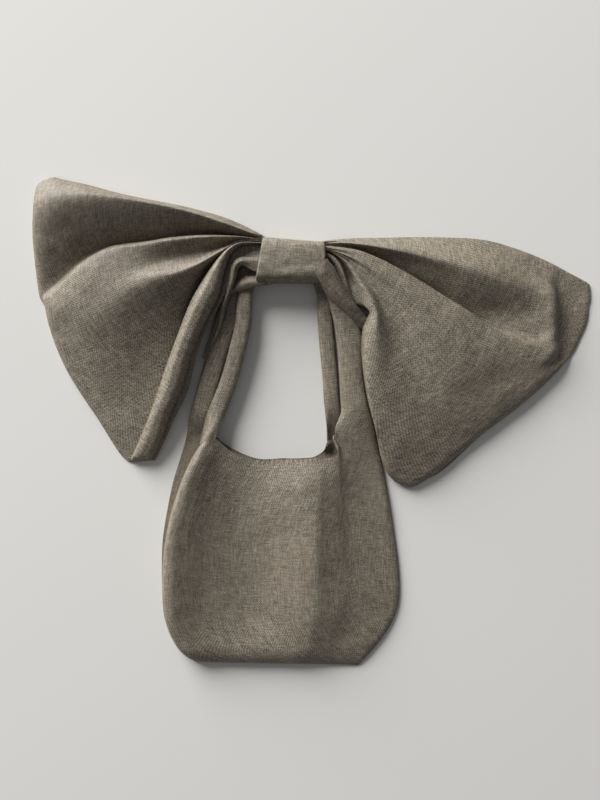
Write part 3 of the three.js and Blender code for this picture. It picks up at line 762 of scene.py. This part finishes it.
# The lobe's edge hangs over the valley, so the back cloth leaves that line out, and the near edge's too.
right_back = wing_back([
    just_under(RIGHT_BORDER, SEAM_DROP),
    *[on_bed(line) for line in RIGHT_FRONT[2:7] + RIGHT_FRONT[8:12]],
    just_under(RIGHT_FRONT[-1], SEAM_DROP),
])

# The length of cloth beside the band over which each wing's bend would run. Its ends are worked out below,
# but nothing bends.
WING_BEND = 45
band_side = np.array([math.cos(KNOT_TILT), math.sin(KNOT_TILT), 0])
for wing, side, wing_pieces in (
    ("left_wing", -1, (
        ("left_wing_front", left_front, CLOTH, UP, "gathered"),
        ("left_wing_back", left_back, BACK_CLOTH, DOWN, "gathered"),
        ("left_pleat_upper", pleat(LEFT_UPPER_PLEAT), CLOTH, UP, "folded"),
        ("left_pleat_lower", pleat(LEFT_LOWER_PLEAT), CLOTH, UP, "folded"),
    )),
    ("right_wing", 1, (
        ("right_wing_front", right_front, CLOTH, UP, "gathered"),
        ("right_wing_back", right_back, BACK_CLOTH, DOWN, "gathered"),
        ("right_pleat_inner", pleat(RIGHT_INNER_PLEAT), CLOTH, UP, "folded"),
        ("right_pleat_roll", pleat(RIGHT_ROLL), CLOTH, UP, "folded"),
    )),
):
    bend_start = (KNOT + side * band_side * (BAND_WIDTH / 2)) * MM
    bend_end = (KNOT + side * band_side * (BAND_WIDTH / 2 + WING_BEND)) * MM
    for node, shape, thickness, facing, held in wing_pieces:
        piece = cloth_piece(node + "_cloth", shape, linen, thickness, facing)
        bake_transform(piece)
        declare(node, shape)


def around_knot(x, y, z):
    """A place in the knot's own tilted frame."""
    cosine, sine = math.cos(KNOT_TILT), math.sin(KNOT_TILT)
    return np.stack([KNOT[0] + x * cosine - y * sine, KNOT[1] + x * sine + y * cosine, z], axis=-1)


def once_round(count):
    """Angles once round a loop, from the middle of its foot."""
    return np.linspace(-math.pi / 2, 1.5 * math.pi, count)


def closed(grid):
    """A loop's grid with its last column on its first."""
    grid[:, -1] = grid[:, 0]
    return grid


# How square the band's ring is, and its steps round and across.
BAND_CORNER = 4.2
BAND_AROUND = 150
BAND_ACROSS = 56
# The band's long edges turn in round a small radius, and their ends lie this far inside the edge.
EDGE_RADIUS = 1.6
EDGE_STEPS = 9
EDGE_ENDS = (3, 7)
# The band's top is crowned and a little slack.
BAND_CROWN = 1.2
BAND_SLACK = 0.45
SLACK_SIZE = 24
SLACK_SHIFT = 300
# Shares of the half height and the half depth from which the ring counts as a side or as a face.
SIDE_FROM = 0.72
FACE_FROM = 0.55
# Its lower side is pulled up, more at the right. Its left edge leans out below, its right edge bows out.
PULL_LEFT = 4
PULL_MORE_RIGHT = 5
LEAN_OUT = 4.5
BOW_OUT = 3


def knot_band():
    """The band: a folded strip of linen pressed flat and wrapped once round the knot."""
    turns = once_round(BAND_AROUND)
    across = rounded(np.cos(turns), 2 / BAND_CORNER) * BAND_HEIGHT / 2
    up = rounded(np.sin(turns), 2 / BAND_CORNER) * BAND_DEPTH / 2
    ring = np.stack([across, up], axis=1)
    ring = points_at(np.linspace(0, lengths(ring)[-1], BAND_AROUND), ring)
    half = BAND_WIDTH / 2
    turn_in = np.linspace(0, math.pi, EDGE_STEPS)[1:]
    edge = [(half + EDGE_RADIUS * math.sin(a), EDGE_RADIUS * (1 - math.cos(a))) for a in turn_in]
    edge += [(half - end, 2 * EDGE_RADIUS) for end in EDGE_ENDS]
    flat = [(x, 0.0) for x in np.linspace(-half, half, BAND_ACROSS)]
    section = np.array([(-x, depth) for x, depth in edge[::-1]] + flat + edge)
    x = section[:, :1] * np.ones((1, BAND_AROUND))
    depth = section[:, 1:]
    y = ring[:, 0] * np.ones((len(section), 1))
    above = ring[:, 1] * np.ones((len(section), 1))
    inward_y = -np.sign(y) * smooth(SIDE_FROM, 1, np.abs(y) / (BAND_HEIGHT / 2))
    inward_z = -np.sign(above) * smooth(FACE_FROM, 1, np.abs(above) / (BAND_DEPTH / 2))
    on_top = np.clip(-inward_z, 0, 1)
    crown = BAND_CROWN * (1 - (x / half) ** 2) * on_top
    slack = BAND_SLACK * ripple(np.stack([x + SLACK_SHIFT, y], axis=-1), SLACK_SIZE, 5) * on_top
    over = x / BAND_WIDTH + 0.5
    y = np.where(y < 0, y * (1 - (PULL_LEFT + PULL_MORE_RIGHT * over) / (BAND_HEIGHT / 2)), y)
    low = 0.5 - y / BAND_HEIGHT
    x = x - LEAN_OUT * low * (1 - over) + BOW_OUT * over * (1 - (2 * low - 1) ** 2)
    z = BAND_DEPTH / 2 + above + depth * inward_z + crown - BAND_CROWN + slack
    return closed(around_knot(x, y + depth * inward_y, np.maximum(z, 0.0)))


# The gathered middle: half its length, width and depth, its place across and above the bed, its gathers.
WAIST_STEPS = (60, 220)
WAIST_HALF = (32.5, 16.5, 10.0)
WAIST_PLACE = (4.0, 22.5)
WAIST_CORNER = 0.6
WAIST_GATHERS = 17
WAIST_GATHER_HEIGHT = 1.4


def gathered_waist():
    """The bow's middle inside the band, drawn up into deep gathers."""
    half_long, half_wide, half_deep = WAIST_HALF
    x = np.linspace(-half_long, half_long, WAIST_STEPS[0])[:, None]
    turns = once_round(WAIST_STEPS[1])[None, :]
    gather = np.sin(WAIST_GATHERS * turns + 0.6 * np.sin(x / 9)) * np.abs(np.cos(turns / 2)) ** 0.1
    gather = WAIST_GATHER_HEIGHT * gather
    y = WAIST_PLACE[0] + (half_wide + gather) * rounded(np.cos(turns), WAIST_CORNER)
    z = WAIST_PLACE[1] + (half_deep + gather) * rounded(np.sin(turns), WAIST_CORNER)
    return closed(around_knot(x + 0 * turns, y, z))


# The crossed straps, measured the same way, and how far they sway across.
CROSSING_STEPS = (50, 90)
CROSSING_HALF = (31.5, 12, 4.4)
CROSSING_PLACE = (-2.5, 6.6)
CROSSING_CORNERS = (0.6, 0.7)
CROSSING_SWAY = 1.2


def crossed_straps():
    """The straps where they cross inside the band, as one flattened roll."""
    half_long, half_wide, half_deep = CROSSING_HALF
    x = np.linspace(-half_long, half_long, CROSSING_STEPS[0])[:, None]
    turns = once_round(CROSSING_STEPS[1])[None, :]
    sway = CROSSING_SWAY * np.sin(x / 8)
    y = CROSSING_PLACE[0] + half_wide * rounded(np.cos(turns), CROSSING_CORNERS[0]) + sway
    z = CROSSING_PLACE[1] + half_deep * rounded(np.sin(turns), CROSSING_CORNERS[1]) + 0 * x
    return closed(around_knot(x + 0 * turns, y, z))


for node, shape, finish, slot_name, rests_on, held in (
    ("knot_band", knot_band(), band_linen, "band_linen", ["pouch_back_panel"], "folded"),
    ("bow_waist", gathered_waist(), linen, "linen", ["knot_band"], "gathered"),
    ("strap_crossover", crossed_straps(), linen, "linen", ["knot_band"], "folded"),
):
    piece = cloth_piece(node + "_cloth", shape, finish, facing=ROUND)
    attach(piece, "knot")
    declare(node, shape)

POUCH_ROWS = 150
POUCH_COLUMNS = 211


def pouch_plan(left, top):
    """The plan of a pouch wall, filled in evenly between its two sides, its base and its top."""
    up = np.linspace(0, 1, POUCH_ROWS)[:, None, None]
    over = np.linspace(0, 1, POUCH_COLUMNS)[None, :, None]
    side_left = flow(left, POUCH_ROWS)[:, None, :]
    side_right = flow(POUCH_RIGHT, POUCH_ROWS)[:, None, :]
    foot = flow(POUCH_BASE, POUCH_COLUMNS)[None, :, :]
    rim = flow(top, POUCH_COLUMNS)[None, :, :]
    corners = (
        (1 - up) * (1 - over) * foot[:, :1]
        + (1 - up) * over * foot[:, -1:]
        + up * (1 - over) * rim[:, :1]
        + up * over * rim[:, -1:]
    )
    return (1 - up) * foot + up * rim + (1 - over) * side_left + over * side_right - corners


# The front's rim curls over the foot of the back strap at the mouth's right corner.
CURL_SHARE = 0.83
CURL_WIDTH = 0.035
CURL_START = 0.9
CURL_REACH = (-12, 4)
# The front wall rolls down to its seams at the left side, at the right side and at the base.
SEAM_HEIGHT = 1.6
LEFT_TURN = 7
RIGHT_TURN = 8
BASE_TURN = 30
# Fine ribs under the middle of the rim, where its hem draws the cloth in.
RIB_PITCH = 5.2
RIB_HEIGHT = 0.45
RIB_REACH = 3.5
RIBS_FROM = (0.3, 0.36)
RIBS_TO = (0.62, 0.68)
# The wall's slack: the size of its waves and their height.
SLACK_WAVE = 60
SLACK_HEIGHT = 0.45
CRUMPLE_WAVE = 22
CRUMPLE_HEIGHT = 0.08


def pouch_front():
    """The front wall: a slack crowned panel, rolled over at its left side and falling away on its right."""
    plan = pouch_plan(POUCH_LEFT, FRONT_TOP)
    over = np.linspace(0, 1, POUCH_COLUMNS)[None, :]
    up = np.linspace(0, 1, POUCH_ROWS)[:, None]
    curl = np.exp(-(((over - CURL_SHARE) / CURL_WIDTH) ** 2)) * smooth(CURL_START, 1, up)
    plan = plan + curl[..., None] * np.array(CURL_REACH)
    width = np.linalg.norm(plan[:, -1] - plan[:, 0], axis=1)[:, None]
    height = np.linalg.norm(plan[-1] - plan[0], axis=1)[None, :]
    rows = np.stack([through(POUCH_SHARES, heights, over.ravel()) for heights in POUCH_HEIGHTS])
    body = through(POUCH_LEVELS, rows, up.ravel())
    sides = quarter(over * width / LEFT_TURN) * quarter((1 - over) * width / RIGHT_TURN)
    foot = quarter(up * height / BASE_TURN)
    slack = SLACK_HEIGHT * ripple(plan, SLACK_WAVE, 41) + CRUMPLE_HEIGHT * ripple(plan, CRUMPLE_WAVE, 42)
    z = SEAM_HEIGHT + (body - SEAM_HEIGHT + slack) * sides * foot
    ribs = np.sin(2 * math.pi * plan[..., 0] / RIB_PITCH) * np.exp(-(1 - up) * height / RIB_REACH)
    z += RIB_HEIGHT * ribs * smooth(*RIBS_FROM, over) * (1 - smooth(*RIBS_TO, over))
    return np.concatenate([plan, z[..., None]], axis=2)


# The back's rim stands up at the mouth's right corner.
MOUTH_CORNER = (48, 127)
CORNER_RISE = 9.0
CORNER_REACH = 6.0
# The rest of the back lies just above the bed, a little uneven.
BACK_LEVEL = 0.2
BACK_UNEVEN = 0.1
BACK_WAVE = 50


def pouch_back():
    """The back wall, flat on the bed but for its rim at the mouth's right corner."""
    plan = pouch_plan(BACK_LEFT, BACK_TOP)
    z = BACK_LEVEL + BACK_UNEVEN * (1 + ripple(plan, BACK_WAVE, 51))
    from_corner = np.linalg.norm(plan - np.array(MOUTH_CORNER), axis=2)
    z += CORNER_RISE * np.exp(-((from_corner / CORNER_REACH) ** 2))
    return np.concatenate([plan, z[..., None]], axis=2)


# The shares of a wall's height and width where its lining's points lie, and how far inside the wall it is.
LINING_ROWS = np.linspace(0.03, 0.985, 90)
LINING_COLUMNS = np.linspace(0.02, 0.98, 120)
LINING_MIDDLE = len(LINING_COLUMNS) // 2
FRONT_LINING_GAP = 0.3
BACK_LINING_GAP = 0.1


def lining_of(wall, lift):
    """A lining just inside a wall, a little short of its top and its seams."""
    up = np.linspace(0, 1, wall.shape[0])
    over = np.linspace(0, 1, wall.shape[1])
    inside = np.apply_along_axis(lambda line: np.interp(LINING_COLUMNS, over, line), 1, wall)
    inside = np.apply_along_axis(lambda line: np.interp(LINING_ROWS, up, line), 0, inside)
    inside[..., 2] += lift
    return inside


front = pouch_front()
back = pouch_back()
front_weave = weave_places(front)
front_inside = lining_of(front, -CLOTH - FRONT_LINING_GAP)
back_inside = lining_of(back, BACK_CLOTH + LINING_CLOTH + BACK_LINING_GAP)

# Where the front wall would open from its middle and bend towards its sides, which stay with the back. Each
# half's start and end are worked out but not used. In metres.
OPEN_EDGE = 0.072
OPEN_MIDDLE = 0.012
OPEN_LEVEL = 0.02
middle_column = POUCH_COLUMNS // 2
for word, side, wall_half, lining_half in (
    ("left", -1, slice(0, middle_column + 1), slice(0, LINING_MIDDLE + 1)),
    ("right", 1, slice(middle_column, None), slice(LINING_MIDDLE, None)),
):
    start = (side * OPEN_EDGE, 0.0, OPEN_LEVEL)
    end = (side * OPEN_MIDDLE, 0.0, OPEN_LEVEL)
    part = front[:, wall_half]
    piece = cloth_piece(f"pouch_front_{word}_half", part, linen, weave=front_weave[:, wall_half])
    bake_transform(piece)
    declare("pouch_front_panel", part)
    part = front_inside[:, lining_half]
    piece = cloth_piece(f"pouch_front_{word}_lining", part, lining, LINING_CLOTH, DOWN)
    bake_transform(piece)
    declare("pouch_front_lining", part)

piece = cloth_piece("pouch_back_cloth", back, linen, BACK_CLOTH, DOWN)
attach(piece, "pouch")
declare("pouch_back_panel", back)
piece = cloth_piece("pouch_back_lining_cloth", back_inside, lining, LINING_CLOTH)
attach(piece, "pouch")
declare("pouch_back_lining", back_inside)

STRAP_STEPS = 90
STRAP_AROUND = 49
STRAP_CORNER = 0.8
# A strap leaves the pouch flat, and closes to a tube over this length.
STRAP_CLOSING = 34
# The foot's underside lies this far below the wall's top, and no part of a strap lies lower than this.
FOOT_DROP = 2.0
STRAP_LOWEST = 0.1


def strap_tube(line, widths, depths, foot):
    """A strap: it leaves the pouch as the wall's own shoulder and closes to a soft oval tube."""
    path = flow(line, STRAP_STEPS)
    share = np.linspace(0, 1, STRAP_STEPS)
    along = np.gradient(path, axis=0)
    right = np.stack([along[:, 1], -along[:, 0], np.zeros(STRAP_STEPS)], axis=1)
    right /= np.linalg.norm(right, axis=1, keepdims=True)
    turns = once_round(STRAP_AROUND)[::-1]
    over = rounded(np.cos(turns), STRAP_CORNER) * profile(widths, share)[:, None] / 2
    up = rounded(np.sin(turns), STRAP_CORNER) * profile(depths, share)[:, None] / 2
    grid = path[:, None, :] + right[:, None, :] * over[:, :, None]
    grid[..., 2] += up
    ring = points_at((np.cos(turns) + 1) / 2 * lengths(foot)[-1], foot)
    ring[:, 2] -= FOOT_DROP * np.clip(-np.sin(turns), 0, 1)
    start = ring[None] + (path - path[0])[:, None, :]
    grow = smooth(0, STRAP_CLOSING, lengths(path))[:, None, None]
    grid = start * (1 - grow) + grid * grow
    grid[..., 2] = np.maximum(grid[..., 2], STRAP_LOWEST)
    return closed(grid)


def shoulder(wall, first, last):
    """The top of a wall from its point nearest one place on the plan to its point nearest another."""
    rim = wall[-1]
    start, end = (np.linalg.norm(rim[:, :2] - np.array(place), axis=1).argmin() for place in (first, last))
    return rim[start : end + 1]


# Each strap's foot is a wall's top between these two places, close to the pouch's shoulders.
front_left_foot = shoulder(front, FRONT_TOP[0], (-71, 134))
front_right_foot = shoulder(front, (58, 139), FRONT_TOP[-1])
back_left_foot = shoulder(back, BACK_TOP[0], (-86, 134))
back_right_foot = shoulder(back, (50, 131), (68, 132))
for node, line, widths, depths, foot in (
    ("left_strap_front", LEFT_STRAP_FRONT, EVEN_FRONT, FRONT_DEPTH, front_left_foot),
    ("left_strap_back", LEFT_STRAP_BACK, EVEN_BACK, BACK_DEPTH, back_left_foot),
    ("right_strap_front", RIGHT_STRAP_FRONT, FLARED_FRONT, FRONT_DEPTH, front_right_foot),
    ("right_strap_back", RIGHT_STRAP_BACK, SLIM_BACK, BACK_DEPTH, back_right_foot),
):
    shape = strap_tube(line, widths, depths, foot)
    piece = cloth_piece(node + "_cloth", shape, linen, STRAP_CLOTH, ROUND)
    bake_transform(piece)
    declare(node, shape)

# The bed, the window and the room, in metres.
BED_SIZE = 6
BED_MIDDLE = (0, 0.15, 0)
BED_COLOUR = srgb(212, 211, 208)
BED_ROUGHNESS = 0.95
BED_GLOSS = 0.1
WINDOW_PLACE = (-4.1, 5.19, 2.16)
WINDOW_SIZE = 5.5
WINDOW_POWER = 1340
WINDOW_COLOUR = (1.0, 0.99, 0.975)
ROOM_COLOUR = (0.98, 0.99, 1.0, 1.0)
ROOM_STRENGTH = 0.21


def bed():
    bpy.ops.object.select_all(action="DESELECT")
    bpy.ops.mesh.primitive_plane_add(size=BED_SIZE, location=BED_MIDDLE)
    floor = bpy.context.active_object
    floor.name = "pale_floor"
    bpy.ops.object.transform_apply(location=True, rotation=True, scale=True)
    sheet = Finish("pale_floor")
    sheet.shader.inputs["Base Color"].default_value = BED_COLOUR
    sheet.shader.inputs["Roughness"].default_value = BED_ROUGHNESS
    sheet.shader.inputs["Specular IOR Level"].default_value = BED_GLOSS
    floor.data.materials.append(sheet.material)


def window():
    """One soft light from the upper left, aimed at the middle of the bed."""
    lamp = bpy.data.lights.new("window", "AREA")
    lamp.shape = "DISK"
    lamp.size = WINDOW_SIZE
    lamp.energy = WINDOW_POWER
    lamp.color = WINDOW_COLOUR
    light = bpy.data.objects.new("window", lamp)
    bpy.context.collection.objects.link(light)
    light.location = WINDOW_PLACE
    x, y, z = np.array(BED_MIDDLE) - np.array(WINDOW_PLACE)
    light.rotation_euler = (math.atan2(math.hypot(x, y), -z), 0, math.atan2(-x, y))


def room():
    world = bpy.data.worlds.new("room")
    world.use_nodes = True
    background = world.node_tree.nodes["Background"]
    background.inputs["Color"].default_value = ROOM_COLOUR
    background.inputs["Strength"].default_value = ROOM_STRENGTH
    bpy.context.scene.world = world
    bpy.context.scene.view_settings.view_transform = "Standard"


# The camera looks straight down. Its place, and the view's height on the bed, are in metres.
CAMERA_HEIGHT = 0.9
CAMERA_PLACE = (0.0198, 0.176, CAMERA_HEIGHT)
VIEW_HEIGHT = 0.88
SENSOR_HEIGHT = 24.0


def overhead_camera():
    camera = bpy.data.cameras.new("overhead_camera")
    camera.sensor_fit = "VERTICAL"
    camera.sensor_height = SENSOR_HEIGHT
    camera.lens = SENSOR_HEIGHT * CAMERA_HEIGHT / VIEW_HEIGHT
    camera_object = bpy.data.objects.new("overhead_camera", camera)
    bpy.context.collection.objects.link(camera_object)
    camera_object.location = CAMERA_PLACE
    bpy.context.scene.camera = camera_object


bed()
window()
room()
overhead_camera()
